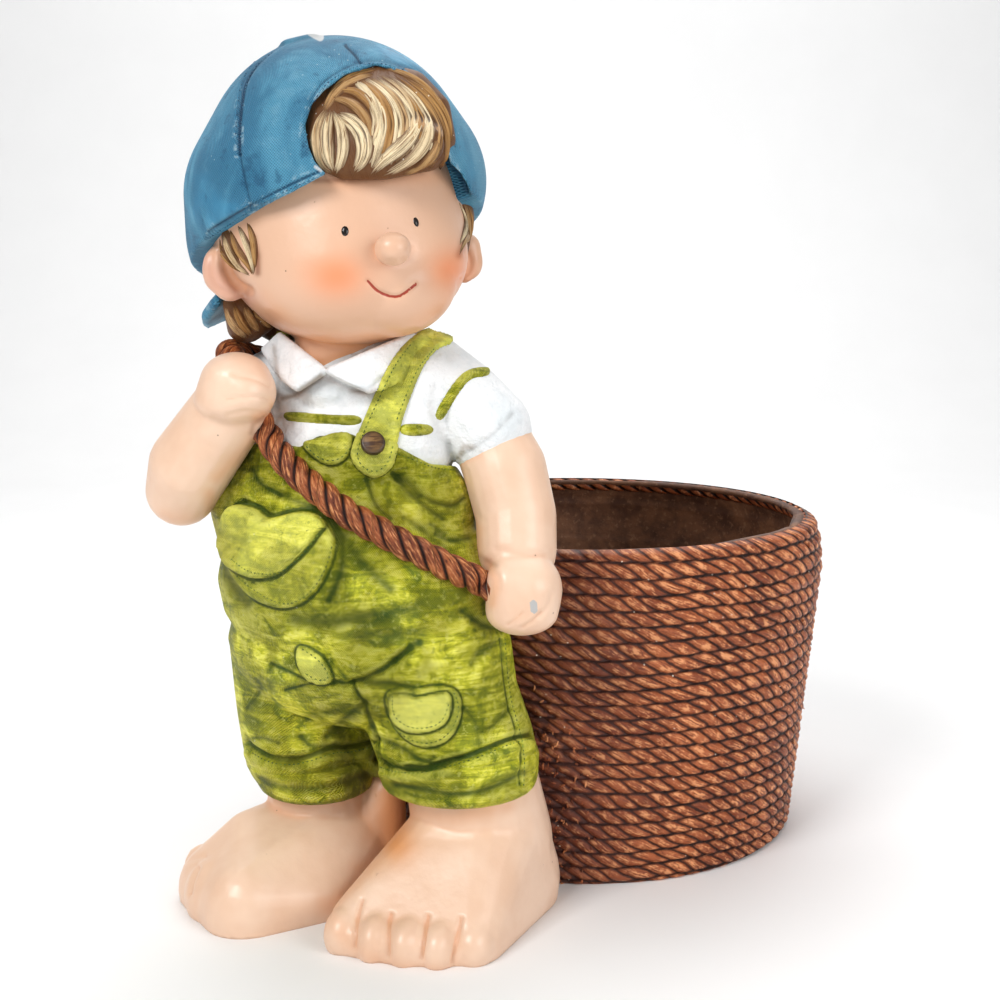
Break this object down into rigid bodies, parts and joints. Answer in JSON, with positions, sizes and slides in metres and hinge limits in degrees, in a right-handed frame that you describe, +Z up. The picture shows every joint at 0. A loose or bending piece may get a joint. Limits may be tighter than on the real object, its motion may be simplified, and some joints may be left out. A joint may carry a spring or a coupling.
{
  "type": "garden statue planter",
  "caption": "Painted cast-resin garden figure of a standing boy in cap and dungarees, rope over one shoulder, with a rope-wound open planter behind him",
  "frame": {"origin": "centre of the footprint box, on the ground under the feet and the planter", "axes": "+Z up, the figure looks along -Y, its left hand and the planter are toward +X and +Y"},
  "size_m": [0.3974, 0.398, 0.4686],
  "materials": {
    "painted_resin": "hand-painted cast resin, satin",
    "cap_paint": "blue paint over woven carving, satin",
    "skin_paint": "smooth flesh paint, satin",
    "hair_paint": "brown washes over cream, satin",
    "shirt_paint": "white paint, lightly stippled",
    "dungarees_paint": "yellow-green brushed over dark green",
    "rope_paint": "red-brown paint over twisted carving",
    "planter_paint": "tan brushed over dark brown"
  },
  "bodies": {
    "root": {"boy_and_planter": "painted_resin"}
  },
  "joints": []
}
